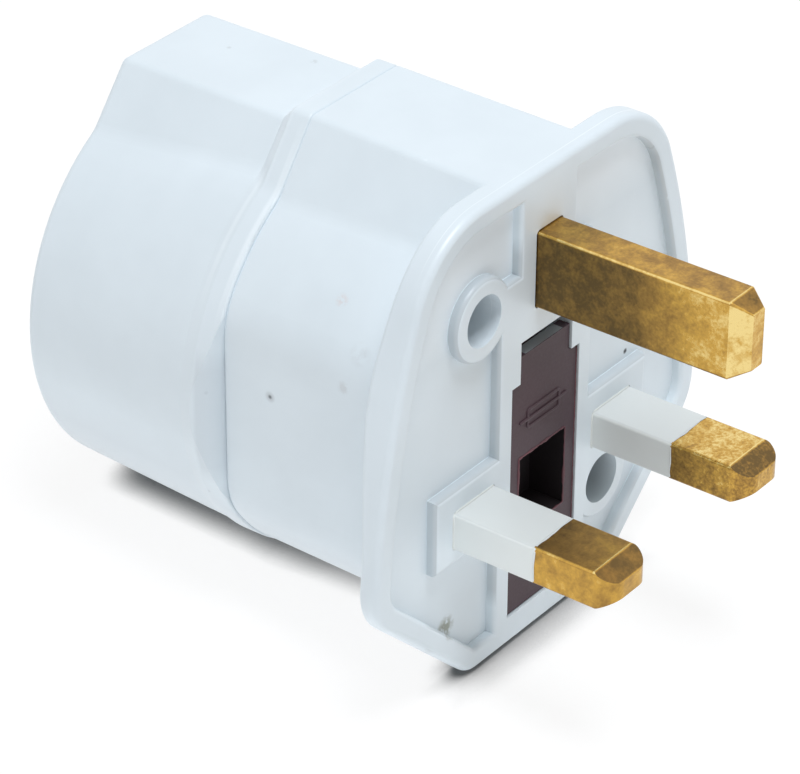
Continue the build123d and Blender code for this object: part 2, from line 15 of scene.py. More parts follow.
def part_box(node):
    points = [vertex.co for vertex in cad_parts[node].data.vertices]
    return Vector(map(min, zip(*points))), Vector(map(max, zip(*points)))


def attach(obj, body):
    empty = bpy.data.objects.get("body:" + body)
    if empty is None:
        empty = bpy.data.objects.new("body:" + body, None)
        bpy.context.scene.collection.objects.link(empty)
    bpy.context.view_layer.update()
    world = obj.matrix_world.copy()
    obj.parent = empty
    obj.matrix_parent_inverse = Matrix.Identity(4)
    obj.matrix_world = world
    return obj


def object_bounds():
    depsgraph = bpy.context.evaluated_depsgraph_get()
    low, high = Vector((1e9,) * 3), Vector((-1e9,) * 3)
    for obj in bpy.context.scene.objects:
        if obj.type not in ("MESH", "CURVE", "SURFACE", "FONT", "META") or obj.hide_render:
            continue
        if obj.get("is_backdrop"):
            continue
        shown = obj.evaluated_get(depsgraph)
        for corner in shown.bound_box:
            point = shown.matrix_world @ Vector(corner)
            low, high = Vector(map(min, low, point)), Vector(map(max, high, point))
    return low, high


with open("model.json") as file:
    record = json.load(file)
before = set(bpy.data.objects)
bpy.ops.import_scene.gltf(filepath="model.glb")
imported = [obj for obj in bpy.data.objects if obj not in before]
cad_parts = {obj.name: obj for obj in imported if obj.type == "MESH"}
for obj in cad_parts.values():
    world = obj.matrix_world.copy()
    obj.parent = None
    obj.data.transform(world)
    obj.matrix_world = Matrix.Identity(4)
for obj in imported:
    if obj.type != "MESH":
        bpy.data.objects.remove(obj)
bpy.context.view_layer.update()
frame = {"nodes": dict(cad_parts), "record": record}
nodes = frame["nodes"]
MM = 0.001

# %% [markdown]
# ## Camera
# The plug face is seen from the left and from above through a long lens, so the sides stay almost parallel.
# A camera can be aimed with a constraint, but here its axes are worked out from three angles: azimuth round
# the object, elevation above the horizon and a slight roll. The lens follows from the picture's width.

# %% Camera at the picture's viewing angle
PICTURE_WIDTH = 800
FOCAL_PIXELS = 4000
SENSOR_WIDTH = 36
NEAREST, FARTHEST = 0.02, 20
AZIMUTH, ELEVATION, ROLL = np.radians([-52.968, 31.610, 0.360])
CAMERA_DISTANCE = 372.36 * MM
AIM_RIGHT, AIM_UP = -13.623 * MM, -2.003 * MM

back = np.array([
    math.sin(AZIMUTH) * math.cos(ELEVATION),
    -math.cos(AZIMUTH) * math.cos(ELEVATION),
    math.sin(ELEVATION),
])
level = np.cross([0, 0, 1], back)
level /= np.linalg.norm(level)
upright = np.cross(back, level)
right = math.cos(ROLL) * level + math.sin(ROLL) * upright
up = -math.sin(ROLL) * level + math.cos(ROLL) * upright
eye = AIM_RIGHT * right + AIM_UP * up + CAMERA_DISTANCE * back

lens = bpy.data.cameras.new("camera")
lens.sensor_width = SENSOR_WIDTH
lens.lens = SENSOR_WIDTH * FOCAL_PIXELS / PICTURE_WIDTH
lens.clip_start, lens.clip_end = NEAREST, FARTHEST
camera = bpy.data.objects.new("camera", lens)
turn = Matrix([right, up, back]).transposed().to_4x4()
camera.matrix_world = Matrix.Translation(Vector(eye)) @ turn
bpy.context.scene.collection.objects.link(camera)
bpy.context.scene.camera = camera
print("camera at", np.round(eye / MM, 1), "mm, lens", lens.lens)

# %% [markdown]
# ## Small tools
# Three helpers carry the rest of the lesson. One turns the sRGB colours that designers write into the linear
# numbers that a renderer adds up. One adds a shader node with its settings and its links. One turns a grid of
# points, computed as a whole array, into a mesh.

# %% Colour, node and grid helpers
# A Mix node keeps its number sockets and its colour sockets at these places
NUMBER_A, NUMBER_B, COLOUR_A, COLOUR_B, COLOUR_OUT = 2, 3, 6, 7, 2


def linear(hex_colour):
    """Linear RGBA of an sRGB hex colour: each channel is undone from the display curve, which is a straight
    line for the darkest tones and a power for the rest."""
    channel = np.array([int(hex_colour[i:i + 2], 16) for i in (1, 3, 5)]) / 255
    low, high = channel / 12.92, ((channel + 0.055) / 1.055) ** 2.4
    return (*np.where(channel <= 0.04045, low, high).tolist(), 1.0)


def node(tree, kind, inputs=None, **settings):
    """Adds one shader node. Each input is a value, or a socket to link from."""
    made = tree.nodes.new("ShaderNode" + kind)
    for name, value in settings.items():
        setattr(made, name, value)
    for key, value in (inputs or {}).items():
        if isinstance(value, bpy.types.NodeSocket):
            tree.links.new(value, made.inputs[key])
        else:
            made.inputs[key].default_value = value
    return made


def grid_piece(name, points, loop_rows=False, loop_columns=False):
    """Mesh of a grid of points in mm: each quad joins neighbours, and a looped side joins last to first."""
    rows, columns = points.shape[:2]
    i = np.arange(rows if loop_rows else rows - 1)[:, None]
    j = np.arange(columns if loop_columns else columns - 1)[None, :]
    i, j = np.broadcast_arrays(i, j)
    near, far = (i + 1) % rows, (j + 1) % columns
    quads = np.stack([i * columns + j, near * columns + j, near * columns + far, i * columns + far], -1)
    mesh = bpy.data.meshes.new(name)
    mesh.from_pydata((points.reshape(-1, 3) * MM).tolist(), [], quads.reshape(-1, 4).tolist())
    mesh.polygons.foreach_set("use_smooth", np.ones(len(mesh.polygons), bool))
    piece = bpy.data.objects.new(name, mesh)
    bpy.context.scene.collection.objects.link(piece)
    print(name, "faces:", len(mesh.polygons))
    return piece


print("half grey is", round(linear("#808080")[0], 3), "in linear light")

# %% [markdown]
# ## Floor
# The adapter rests on the flange's lower edge and on the rear rim, so the floor is a plane through those two
# edges: a little steeper than the plug's own axes.

# %% Floor under the flange and the rear rim
FRONT_CONTACT = np.array([1.6, -28.87])
REAR_CONTACT = np.array([45.3, -24.87])
FLOOR_REACH = 1500
slope = (REAR_CONTACT[1] - FRONT_CONTACT[1]) / (REAR_CONTACT[0] - FRONT_CONTACT[0])
across = np.array([-FLOOR_REACH, FLOOR_REACH])
run_x, run_y = np.meshgrid(across, across, indexing="ij")
floor_z = FRONT_CONTACT[1] + slope * (run_y - FRONT_CONTACT[0])
floor = grid_piece("floor", np.stack([run_x, run_y, floor_z], -1))
floor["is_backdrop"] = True
print("floor slopes", round(math.degrees(math.atan(slope)), 2), "degrees")

# %% [markdown]
# The floor is white paper on a light table, whose glow lights the object's sides from below. To the eye the
# glow fades wherever something stands close over the paper: Ambient Occlusion measures how much of the sky a
# point sees within a reach. The shadow stays tight and dark under the body. In front of the flange's foot the
# reach is longer, so there the shadow is wider and fades out more slowly.

# %% Paper on a light table
def in_view(tree):
    """1 for a ray that comes straight from the camera, off a gloss or through a clear body, otherwise 0."""
    path = node(tree, "LightPath").outputs
    seen = path["Is Camera Ray"]
    for kind in ("Is Glossy Ray", "Is Transmission Ray"):
        seen = node(tree, "Math", {0: seen, 1: path[kind]}, operation="MAXIMUM").outputs[0]
    return seen


GLOW_ON_OBJECT, GLOW_SEEN = 0.3, 0.86
# Before the foot and under the body: the reach in mm, the open share that is dark and the one that is clear
REACH, DARK_BELOW, CLEAR_ABOVE = (7.0, 4.2), (0.53, 0.28), (0.85, 0.7)
FOOT_Y, BODY_Y = -2.0, 6.0
SHADOW_SAMPLES = 16
# Matt paper has no gloss at all, so only its white and the shadow show
white_sheet = bpy.data.materials.new("paper_matt_white")
white_sheet.use_nodes = True
tree = white_sheet.node_tree
tree.nodes.clear()
bounce = node(tree, "BsdfDiffuse", {"Color": linear("#F3F3F3")})
table = node(tree, "Emission", {"Color": linear("#FFFFFF"), "Strength": GLOW_ON_OBJECT})
lighting = node(tree, "AddShader", {0: bounce.outputs[0], 1: table.outputs[0]})
place = node(tree, "TexCoord").outputs["Object"]
along = node(tree, "SeparateXYZ", {0: place}).outputs["Y"]
reach, dark, clear = (
    node(tree, "MapRange", {"Value": along, "From Min": FOOT_Y * MM, "From Max": BODY_Y * MM,
                            "To Min": foot, "To Max": body}).outputs[0]
    for foot, body in (np.array(REACH) * MM, DARK_BELOW, CLEAR_ABOVE))
open_sky = node(tree, "AmbientOcclusion", {"Distance": reach}, samples=SHADOW_SAMPLES).outputs["AO"]
glow = node(tree, "MapRange", {"Value": open_sky, "From Min": dark, "From Max": clear,
                               "To Min": 0, "To Max": GLOW_SEEN}).outputs[0]
shaded = node(tree, "BsdfDiffuse", {"Color": linear("#767676")})
shine = node(tree, "Emission", {"Color": linear("#FFFFFF"), "Strength": glow})
showing = node(tree, "AddShader", {0: shaded.outputs[0], 1: shine.outputs[0]})
both = node(tree, "MixShader", {0: in_view(tree), 1: lighting.outputs[0], 2: showing.outputs[0]})
node(tree, "OutputMaterial", {"Surface": both.outputs[0]})
floor.data.materials.append(white_sheet)
print("paper glows", GLOW_ON_OBJECT, "on the object and", GLOW_SEEN, "to the eye")

# %% [markdown]
# ## Light
# The adapter stands in a white tent under one large soft box. The tent gives an even, weak light from all
# round, and to the eye it is plain white. The box is far away and wide, so the tops turn bright and the
# edges between the faces stay soft.

# %% White tent
SKY_LIGHT, SKY_SEEN = 0.4, 1.0
world = bpy.data.worlds.new("white_tent")
bpy.context.scene.world = world
world.use_nodes = True
tree = world.node_tree
tree.nodes.clear()
strength = node(tree, "MapRange", {"Value": in_view(tree), "To Min": SKY_LIGHT, "To Max": SKY_SEEN})
sky = node(tree, "Background", {"Color": linear("#FFFFFF"), "Strength": strength.outputs[0]})
node(tree, "OutputWorld", {"Surface": sky.outputs[0]})
bpy.context.scene.view_settings.view_transform = "Standard"
print("sky", SKY_LIGHT)

# %% Overhead soft box
DAYLIGHT = "#F6FAFF"
BOX_PLACE, BOX_SIZE, BOX_POWER = Vector((-40, -130, 700)), 300, 3.6
lamp = bpy.data.lights.new("overhead_box", "AREA")
lamp.shape = "SQUARE"
lamp.size = BOX_SIZE * MM
lamp.energy = BOX_POWER
lamp.color = linear(DAYLIGHT)[:3]
soft_box = bpy.data.objects.new("overhead_box", lamp)
soft_box.location = BOX_PLACE * MM
soft_box.rotation_euler = (-BOX_PLACE).to_track_quat("-Z", "Y").to_euler()
bpy.context.scene.collection.objects.link(soft_box)
print("soft box", round(BOX_PLACE.length), "mm away,", BOX_SIZE, "mm wide")

# %% [markdown]
# ## White housing
# The two shells are ABS, moulded against a polished tool: cool white, a soft sheen, and a faint unevenness
# that only the highlights show. Handling left a few specks and smudges. Each mark is a small ball round a
# point on the shell: where the surface passes through the ball, the colour changes. A speck is solid, and a
# smudge is broken up by noise. One large dark ball is no mark: it paints shade into the lower screw well.

# %% Moulded plastic with marks
PLASTIC_IOR = 1.54
DRIFT_MM, DRIFT_RANGE = 9.0, (0.35, 0.65)
SOLID_CORE, CRUMB_RANGE = 0.35, (0.38, 0.55)
BUMP_STRENGTH = 0.5


def millimetres(tree):
    """The object's own coordinates, from metres to millimetres."""
    place = node(tree, "TexCoord").outputs["Object"]
    return node(tree, "VectorMath", {0: place, "Scale": 1 / MM}, operation="SCALE").outputs[0]


def patterned(name):
    """New material: its node tree, its shader and the object's own coordinates in millimetres."""
    material = bpy.data.materials.new(name)
    material.use_nodes = True
    tree = material.node_tree
    tree.nodes.clear()
    shader = node(tree, "BsdfPrincipled")
    node(tree, "OutputMaterial", {"Surface": shader.outputs[0]})
    return material, tree, shader, millimetres(tree)


def moulded(name, colour, shade, roughness, gloss_spread, grain_mm, depth_mm, marks=()):
    """Moulded plastic: a broad drift between two tones, a fine tool texture, and marks: specks and smudges of
    handling, and on the housing one ball of painted shade.
    """
    material, tree, shader, in_mm = patterned(name)
    drift = node(tree, "TexNoise", {"Vector": in_mm, "Scale": 1 / DRIFT_MM, "Detail": 3}).outputs["Fac"]
    tone = node(tree, "MapRange", {"Value": drift, "From Min": DRIFT_RANGE[0],
                                   "From Max": DRIFT_RANGE[1]}).outputs[0]
    tint = node(tree, "Mix", {0: tone, COLOUR_A: linear(shade), COLOUR_B: linear(colour)},
                data_type="RGBA").outputs[COLOUR_OUT]
    for centre, radius, mark_colour, amount, crumb_mm in marks:
        near = node(tree, "VectorMath", {0: in_mm, 1: centre}, operation="DISTANCE").outputs["Value"]
        ball = node(tree, "MapRange", {"Value": near, "From Min": SOLID_CORE * radius, "From Max": radius,
                                       "To Min": amount, "To Max": 0}).outputs[0]
        if crumb_mm:
            crumbs = node(tree, "TexNoise", {"Vector": in_mm, "Scale": 1 / crumb_mm, "Detail": 4})
            broken = node(tree, "MapRange", {"Value": crumbs.outputs["Fac"], "From Min": CRUMB_RANGE[0],
                                             "From Max": CRUMB_RANGE[1]}).outputs[0]
            ball = node(tree, "Math", {0: ball, 1: broken}, operation="MULTIPLY").outputs[0]
        tint = node(tree, "Mix", {0: ball, COLOUR_A: tint, COLOUR_B: linear(mark_colour)},
                    data_type="RGBA").outputs[COLOUR_OUT]
    grain = node(tree, "TexNoise", {"Vector": in_mm, "Scale": 1 / grain_mm, "Detail": 2}).outputs["Fac"]
    gloss = node(tree, "MapRange", {"Value": grain, "To Min": roughness - gloss_spread,
                                    "To Max": roughness + gloss_spread}).outputs[0]
    bump = node(tree, "Bump", {"Height": grain, "Distance": depth_mm * MM,
                               "Strength": BUMP_STRENGTH}).outputs[0]
    for socket, value in (("Base Color", tint), ("Roughness", gloss), ("Normal", bump)):
        tree.links.new(value, shader.inputs[socket])
    shader.inputs["IOR"].default_value = PLASTIC_IOR
    return material


mirrored = ((PLASTIC_IOR - 1) / (PLASTIC_IOR + 1)) ** 2
print("plastic mirrors", round(100 * mirrored, 1), "percent of the light that meets it straight on")

# %% The housing's white and its marks
# Each mark: centre and radius in mm, colour, strongest amount, and the crumbs' size in mm or 0 for a speck
HANDLING_MARKS_AND_WELL_SHADE = (
    ((-19.89, 17.0, -0.15), 0.65, "#9BA1A6", 0.45, 0),
    ((-19.89, 17.0, -0.15), 0.26, "#4E5459", 0.8, 0),
    ((-16.73, 11.04, 10.86), 0.8, "#D9CBC9", 0.4, 0.5),
    ((-19.12, 7.14, 7.64), 1.3, "#C9CFD4", 0.4, 1.0),
    ((-20.02, 8.39, 4.13), 0.8, "#C5C9CC", 0.45, 0.8),
    ((1.65, 39.05, 20.3), 0.3, "#B4BABC", 0.35, 0),
    ((4.32, 30.8, 20.3), 0.5, "#B9BFC1", 0.38, 0.4),
    ((-21.34, 23.46, -1.45), 0.25, "#8D959C", 0.2, 0),
    ((-19.94, 24.56, -13.44), 0.22, "#8D959C", 0.5, 0),
    ((-13.89, 1.1, -22.55), 1.5, "#8E9282", 0.9, 0.6),
    ((-14.6, 0.5, -22.4), 0.9, "#77745C", 0.7, 0.5),
    ((14.89, 1.1, -5.93), 0.36, "#15171A", 1.0, 0),
    # The last ball is no handling mark: it paints shade into the lower screw well
    ((10.0, 5.5, -17.4), 6.1, "#5E6566", 1.0, 0),
)
# ABS off a polished tool gives the eye a cool white with a soft sheen and hardly any grain
housing_white = moulded("abs_moulded_white", "#E2ECF2", "#DEE8EE", roughness=0.36, gloss_spread=0.05,
                        grain_mm=0.5, depth_mm=0.004, marks=HANDLING_MARKS_AND_WELL_SHADE)
for name in ("front_housing", "rear_housing"):
    nodes[name].data.materials[0] = housing_white
print("housing marks:", len(HANDLING_MARKS_AND_WELL_SHADE))

# %% [markdown]
# ## Painted light and shade on the white
# Some light and shade is painted into the white's colour. Lighter bands along the collar's edges are painted
# highlights, and the lighter top of the plug face's two fields is painted light where the rim shades it. The
# collar's low side, the underside, the low steps of the plug face and the inner wall of the right rim are
# darkened: painted shade. Painting such places by hand would need a map; a box in the object's own
# coordinates does it, fading in from its sides.

# %% Collar and underside
# Each box given to this helper paints light or shade into the colour of the material.
def paint_light_and_shade(material, centre, half, soft, colour, amount, clear_of=()):
    """Colours a material inside a box: along each axis, depth is 1 in the middle and 0 at the side; the least
    of the three, over soft, is the cover. Round wells along y, given by x, z and radius, are left out."""
    tree = material.node_tree
    shader = tree.nodes["Principled BSDF"]
    in_mm = millimetres(tree)
    away = node(tree, "VectorMath", {0: in_mm, 1: centre}, operation="SUBTRACT").outputs[0]
    away = node(tree, "VectorMath", {0: away, 1: half}, operation="DIVIDE").outputs[0]
    away = node(tree, "VectorMath", {0: away}, operation="ABSOLUTE").outputs[0]
    away = node(tree, "SeparateXYZ", {0: away}).outputs
    most = node(tree, "Math", {0: away["X"], 1: away["Z"]}, operation="MAXIMUM").outputs[0]
    most = node(tree, "Math", {0: most, 1: away["Y"]}, operation="MAXIMUM").outputs[0]
    cover = node(tree, "MapRange", {"Value": most, "From Min": 1 - soft, "From Max": 1, "To Min": amount,
                                    "To Max": 0}).outputs[0]
    for x, z, radius in clear_of:
        flat = node(tree, "VectorMath", {0: in_mm, 1: (1, 0, 1)}, operation="MULTIPLY").outputs[0]
        off = node(tree, "VectorMath", {0: flat, 1: (x, 0, z)}, operation="DISTANCE").outputs["Value"]
        outside = node(tree, "Math", {0: off, 1: radius}, operation="GREATER_THAN").outputs[0]
        cover = node(tree, "Math", {0: cover, 1: outside}, operation="MULTIPLY").outputs[0]
    plain = shader.inputs["Base Color"].links[0].from_socket
    tint = node(tree, "Mix", {0: cover, COLOUR_A: plain, COLOUR_B: linear(colour)},
                data_type="RGBA").outputs[COLOUR_OUT]
    tree.links.new(tint, shader.inputs["Base Color"])


# The first colour paints light, and the three greys paint shade
PAINTED_LIGHT_WHITE, COLLAR_SHADE_GREY, UNDER_SHADE_GREY, STEP_SHADE_GREY = "#F1F9FE", "#C9D2D9", "#D4DDE3", "#A9B0B4"
# Each box: centre and half size in mm, the share of it that fades, colour, strongest amount
# Painted highlights along the collar's front and rear edges, and painted light on its step near the crown
COLLAR_HIGHLIGHTS = (
    ((0, 22.95, 13.0), (60, 0.42, 8.0), 1, PAINTED_LIGHT_WHITE, 0.85),
    ((0, 25.3, 13.0), (60, 0.35, 7.0), 1, PAINTED_LIGHT_WHITE, 0.5),
    ((0, 25.3, 20.0), (60, 1.0, 5.0), 1, PAINTED_LIGHT_WHITE, 0.7),
)
# Painted shade on the collar's low side
COLLAR_SIDE_SHADE = ((-20.5, 23.4, -4.5), (3.5, 1.2, 7.5), 0.3, COLLAR_SHADE_GREY, 0.45)
# Painted shade on the underside, against the light that the floor throws up onto it
UNDERSIDE_SHADE = (
    ((0, 38, -24), (60, 15.3, 16), 0.3, UNDER_SHADE_GREY, 0.9),
    ((0, 14, -27.5), (60, 13, 16), 0.3, UNDER_SHADE_GREY, 0.9),
)
for box in (*COLLAR_HIGHLIGHTS, COLLAR_SIDE_SHADE, *UNDERSIDE_SHADE):
    paint_light_and_shade(housing_white, *box)
print("collar edges at y", [box[0][1] for box in COLLAR_HIGHLIGHTS])

# %% Steps and fields of the plug face
WELLS = ((-10.08, 9.34, 2.75), (10.02, -17.39, 2.75))
# Painted shade on the walls and low steps of the plug face, with the screw wells left out
FACE_STEP_SHADE = ((0, 0.55, -4.0), (18.5, 0.5, 19.5), 0.1, STEP_SHADE_GREY, 0.55)
# Painted shade on the inner wall of the right rim, under its overhang
RIGHT_WALL_SHADE = (
    ((15.4, 0.55, 16.7), (1.6, 0.5, 1.5), 0.1, STEP_SHADE_GREY, 0.45),
    ((18.2, 0.55, 12.5), (1.5, 0.5, 3.7), 0.1, STEP_SHADE_GREY, 0.45),
    ((20.45, 0.55, 5.5), (1.5, 0.5, 3.7), 0.1, STEP_SHADE_GREY, 0.45),
    ((22.3, 0.55, -1.5), (1.5, 0.5, 3.7), 0.1, STEP_SHADE_GREY, 0.45),
)
# Painted light on the top of the two fields, where the rim above shades them
FIELD_TOP_LIGHT = (
    ((10.0, 1.1, 19.5), (11.0, 0.06, 8.0), 0.5, PAINTED_LIGHT_WHITE, 0.9),
    ((-8.0, 1.1, 15.5), (11.0, 0.06, 8.0), 0.5, PAINTED_LIGHT_WHITE, 0.9),
)
paint_light_and_shade(housing_white, *FACE_STEP_SHADE, clear_of=WELLS)
for box in (*RIGHT_WALL_SHADE, *FIELD_TOP_LIGHT):
    paint_light_and_shade(housing_white, *box)
# The darkening on the steps that the next line names is painted shade
print("dust on the face's steps, clear of", len(WELLS), "wells")

# %% [markdown]
# ## Pin sleeves
# The sleeves are nylon, moulded round the necked pins: a warmer white than the housing and a little duller.
# Two thin boxes paint light and shade on them: shade on their tops, and light on the live sleeve's outer
# side.

# %% Nylon sleeves
# Nylon gives the eye a warm, slightly waxy white without sharp highlights
sleeve_white = moulded("nylon_moulded_white", "#E1E5E3", "#DBDFDD", roughness=0.42, gloss_spread=0.05,
                       grain_mm=0.35, depth_mm=0.006)
# The first box paints shade on the sleeves' tops, the second paints light on the live sleeve's outer side
SLEEVE_TOP_SHADE = ((0, -5, -9.12), (20, 20, 0.1), 0.5, "#D0D4D3", 0.9)
LIVE_SIDE_LIGHT = ((-14.29, -5, -11.1), (0.1, 20, 3), 0.5, "#F2F6F4", 0.9)
for name in ("live_sleeve", "neutral_sleeve"):
    nodes[name].data.materials[0] = sleeve_white
for box in (SLEEVE_TOP_SHADE, LIVE_SIDE_LIGHT):
    paint_light_and_shade(sleeve_white, *box)
print("sleeves:", sleeve_white.name)

# %% [markdown]
# ## Brass pins
# The pins are cut from drawn brass bar. Years of handling leave a brown film, but not the same on every face:
# a face that rubs on the socket's springs stays gold, a face that nothing touches goes brown, and the tip is
# rubbed bright. The long edge between the top and the left side and the upper edges of the sloped tip are
# made brighter still: partly rubbed brass, partly a painted highlight. The amount of film is set by the
# direction that a face looks in, so one material dresses the whole pin; noise at three sizes then breaks it
# into patches, mottling and specks.

# %% Drawn brass with a film that depends on the face
# From clean to brown along the film, and the film's noise: size in mm, detail, strength
BRASS_TONES = ((0.0, "#F0D68F"), (0.3, "#CFA450"), (0.6, "#A68146"), (1.0, "#6E5938"))
FILM_NOISE = ((5.0, 3, 0.5), (1.3, 4, 0.8))
GRAIN_MM, GRAIN_DETAIL, FILM_SWIRL = 0.3, 3, 0.3
HALF_FILM = 0.5
FACING_RANGE, UPWARD_RANGE = (0.93, 0.985), (0.5, 0.7)
CREASE_CORE_MM, CREASE_MM, CREASE_WEAR_AND_HIGHLIGHT = 0.04, 0.16, 0.6
LINE_MM, LINE_STRETCH, LINE_DEPTH_MM = 0.25, 0.04, 0.02
CLEAN_ROUGHNESS, FILM_ROUGHNESS = 0.22, 0.42


def film_on_faces(tree, in_mm, tip_y, slope_y, worn, faces):
    """Film = half, changed by an amount for each direction that a face looks in, which runs from one value
    near the tip to another near the root, and less on the two upper edges of the sloped tip, which makes them
    brighter: partly rubbed brass, partly a painted highlight."""
    normal = node(tree, "TexCoord").outputs["Normal"]
    along = node(tree, "SeparateXYZ", {0: in_mm}).outputs["Y"]
    film = HALF_FILM
    for direction, at_tip, at_root in faces:
        facing = node(tree, "VectorMath", {0: normal, 1: Vector(direction).normalized()},
                      operation="DOT_PRODUCT").outputs["Value"]
        change = node(tree, "MapRange", {"Value": along, "From Min": tip_y + worn[0],
                                         "From Max": tip_y + worn[1],
                                         "To Min": at_tip, "To Max": at_root}).outputs[0]
        more = node(tree, "MapRange", {"Value": facing, "From Min": FACING_RANGE[0],
                                       "From Max": FACING_RANGE[1], "To Min": 0, "To Max": change}).outputs[0]
        film = node(tree, "Math", {0: film, 1: more}, operation="ADD").outputs[0]
    upward = node(tree, "SeparateXYZ", {0: normal}).outputs["Z"]
    wear_and_highlight = node(tree, "MapRange", {"Value": upward, "From Min": UPWARD_RANGE[0],
                                   "From Max": UPWARD_RANGE[1], "To Max": -CREASE_WEAR_AND_HIGHLIGHT}).outputs[0]
    for crease_y in (tip_y, slope_y):
        off = node(tree, "Math", {0: along, 1: crease_y}, operation="SUBTRACT").outputs[0]
        off = node(tree, "Math", {0: off}, operation="ABSOLUTE").outputs[0]
        close = node(tree, "MapRange", {"Value": off, "From Min": CREASE_CORE_MM, "From Max": CREASE_MM,
                                        "To Min": 1, "To Max": 0}).outputs[0]
        film = node(tree, "Math", {0: close, 1: wear_and_highlight, 2: film}, operation="MULTIPLY_ADD").outputs[0]
    return film


def drawn_brass(name, tip_y, slope_y, worn, grain, faces):
    """The film on the faces plus noise at three sizes; a ramp turns it to a tone. Fine lines along the bar,
    drawn a little coarser than real ones so that they show, and the film itself make the relief."""
    material, tree, shader, in_mm = patterned(name)
    film = film_on_faces(tree, in_mm, tip_y, slope_y, worn, faces)
    layers = (*FILM_NOISE, (GRAIN_MM, GRAIN_DETAIL, grain))
    for size, detail, strength in layers:
        noise = node(tree, "TexNoise", {"Vector": in_mm, "Scale": 1 / size, "Detail": detail,
                                        "Distortion": FILM_SWIRL}).outputs["Fac"]
        film = node(tree, "Math", {0: noise, 1: strength, 2: film}, operation="MULTIPLY_ADD").outputs[0]
    middle = sum(strength for _, _, strength in layers) / 2
    amount = node(tree, "MapRange", {"Value": film, "From Min": middle, "From Max": middle + 1}).outputs[0]
    ramp = node(tree, "ValToRGB", {0: amount})
    stops = ramp.color_ramp.elements
    for place_on_ramp, _ in BRASS_TONES[1:-1]:
        stops.new(place_on_ramp)
    for stop, (_, tone) in zip(stops, BRASS_TONES):
        stop.color = linear(tone)
    lines = node(tree, "Mapping", {"Vector": in_mm, "Scale": (1, LINE_STRETCH, 1)}).outputs[0]
    drawn = node(tree, "TexNoise", {"Vector": lines, "Scale": 1 / LINE_MM, "Detail": 3}).outputs["Fac"]
    relief = node(tree, "Mix", {0: 0.5, NUMBER_A: drawn, NUMBER_B: amount}).outputs[0]
    bump = node(tree, "Bump", {"Height": relief, "Distance": LINE_DEPTH_MM * MM,
                               "Strength": BUMP_STRENGTH}).outputs[0]
    gloss = node(tree, "MapRange", {"Value": amount, "To Min": CLEAN_ROUGHNESS,
                                    "To Max": FILM_ROUGHNESS}).outputs[0]
    for socket, value in (("Base Color", ramp.outputs[0]), ("Roughness", gloss), ("Normal", bump)):
        tree.links.new(value, shader.inputs[socket])
    shader.inputs["Metallic"].default_value = 1
    return material


print("brass goes from", BRASS_TONES[0][1], "to", BRASS_TONES[-1][1], "in", len(BRASS_TONES), "tones")

# %% One brass for each pin
# EDGE looks up and to the left: less film there brightens the long edge between the top and the left side,
# partly rubbed brass and partly a painted highlight
TOP, SIDE, END, EDGE = (0, 0, 1), (-1, 0, 0), (0, -1, 0), (-1, 0, 1)
EARTH_SLANT, EARTH_SLOPE, LINE_SLOPE = (-0.87, -0.5, 0), (0, -0.5, 0.87), (0, -0.46, 0.89)
earth_tip, line_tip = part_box("earth_pin")[0].y / MM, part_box("live_pin")[0].y / MM
# Each brass: name, tip, length of the sloped tip, where the wear fades, grain, and the film's change on each
# face near the tip and near the root. Drawn brass gives the eye a warm gold with a brown, patchy bloom.
PIN_BRASS = {
    "earth_pin": ("brass_drawn_mottled", earth_tip, 1.9, (6.0, 12.0), 0.5, (
        (TOP, 0.0, 0.0), (SIDE, -0.2, 0.4), (EDGE, -0.45, -0.4), (EARTH_SLANT, -0.42, -0.42),
        (EARTH_SLOPE, 0.3, 0.3), (END, -0.2, -0.2))),
    "live_pin": ("brass_drawn_smooth", line_tip, 2.1, (1.0, 8.0), 0.35, (
        (TOP, -0.08, 0.26), (SIDE, -0.1, -0.12), (EDGE, -0.25, -0.25), (LINE_SLOPE, 0.4, 0.4),
        (END, -0.1, -0.1))),
    "neutral_pin": ("brass_drawn_grainy", line_tip, 2.1, (1.0, 8.0), 1.0, (
        (TOP, -0.26, -0.26), (SIDE, -0.14, 0.12), (EDGE, -0.25, -0.25), (LINE_SLOPE, 0.45, 0.45),
        (END, -0.12, -0.12))),
}
for pin, (name, tip_y, slope_length, worn, grain, faces) in PIN_BRASS.items():
    nodes[pin].data.materials[0] = drawn_brass(name, tip_y, tip_y + slope_length, worn, grain, faces)
    print(pin, "tip at", round(tip_y, 2))

# %% [markdown]
# ## Fuse drawer
# The drawer is a phenolic moulding, dark red and matt, and the fuse in it is a glazed ceramic tube. Little
# light gets into the pry window, so a box blackens its walls, and another paints the top of the tab the grey
# of white plastic in shade.

# %% Drawer and fuse
WINDOW_CENTRE, WINDOW_HALF = (0.0, 2.3, -12.9), (3.8, 2.0, 4.35)
TAB_TOP, TAB_HALF = (0.0, 1.5, 2.62), (3.0, 1.2, 0.1)
# Phenolic gives the eye a deep, dull red with a slight mottle
drawer_red = moulded("phenolic_moulded_dark_red", "#442E37", "#3B272F", roughness=0.55, gloss_spread=0.08,
                     grain_mm=0.3, depth_mm=0.01)
paint_light_and_shade(drawer_red, WINDOW_CENTRE, WINDOW_HALF, soft=0.008, colour="#040405", amount=0.9)
# Painted shade: the tab's top takes the grey of white plastic in shade
paint_light_and_shade(drawer_red, TAB_TOP, TAB_HALF, soft=0.02, colour="#9BA1A4", amount=0.85)
nodes["fuse_carrier"].data.materials[0] = drawer_red
# Glazed ceramic gives the eye a warm cream under a glassy shine
fuse_white = moulded("ceramic_glazed_cream", "#E7E1D3", "#DED7C6", roughness=0.22, gloss_spread=0.04,
                     grain_mm=0.4, depth_mm=0.003)
nodes["fuse_tube"].data.materials[0] = fuse_white
print("drawer:", drawer_red.name, "fuse:", fuse_white.name)

